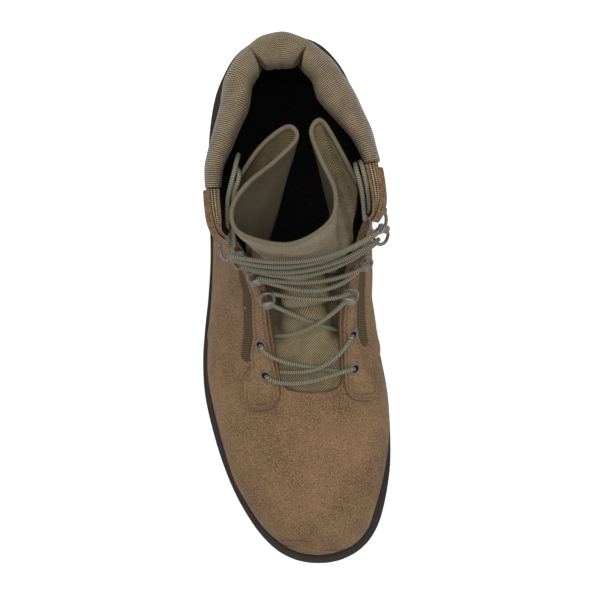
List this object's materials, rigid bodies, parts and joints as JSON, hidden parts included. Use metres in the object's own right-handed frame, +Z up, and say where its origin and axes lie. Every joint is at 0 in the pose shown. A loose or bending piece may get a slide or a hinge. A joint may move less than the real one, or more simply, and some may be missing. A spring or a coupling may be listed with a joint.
{
  "type": "combat boot",
  "caption": "Right ankle-high combat boot: suede upper, padded nylon collar, folded bellows tongue, lacing through eyelets and wire loops, and a lugged rubber sole.",
  "frame": {"origin": "on the floor, in the middle of the sole's outline box", "axes": "+Z up, -Y towards the toe, +X towards the medial (big toe) side of this right boot"},
  "size_m": [0.1102, 0.308, 0.1972],
  "materials": {
    "rubber": "matt moulded dark brown rubber",
    "suede": "tan-brown roughout suede with a fine nap",
    "facing_suede": "tan-brown roughout suede, raw edges",
    "collar_nylon": "coarse woven olive-brown nylon over foam",
    "tongue_nylon": "woven olive nylon, bound edge",
    "lining": "near-black knitted lining",
    "hardware": "dark grey coated steel",
    "lace": "round braid, olive grey with black flecks"
  },
  "bodies": {
    "root": {"outsole": "rubber", "upper": "suede", "insole": "lining", "tongue": "tongue_nylon", "collar": "collar_nylon", "facing_lateral": "facing_suede", "facing_medial": "facing_suede", "eyelet_1_lateral": "hardware", "eyelet_1_medial": "hardware", "eyelet_2_lateral": "hardware", "eyelet_2_medial": "hardware", "loop_3_lateral": "hardware", "loop_3_medial": "hardware", "loop_4_lateral": "hardware", "loop_4_medial": "hardware", "loop_5_lateral": "hardware", "loop_5_medial": "hardware", "loop_6_lateral": "hardware", "loop_6_medial": "hardware", "lace_crossings": "lace", "lace_end_lateral_1": "lace", "lace_end_lateral_2": "lace", "lace_end_medial_1": "lace", "lace_end_medial_2": "lace"}
  },
  "joints": []
}
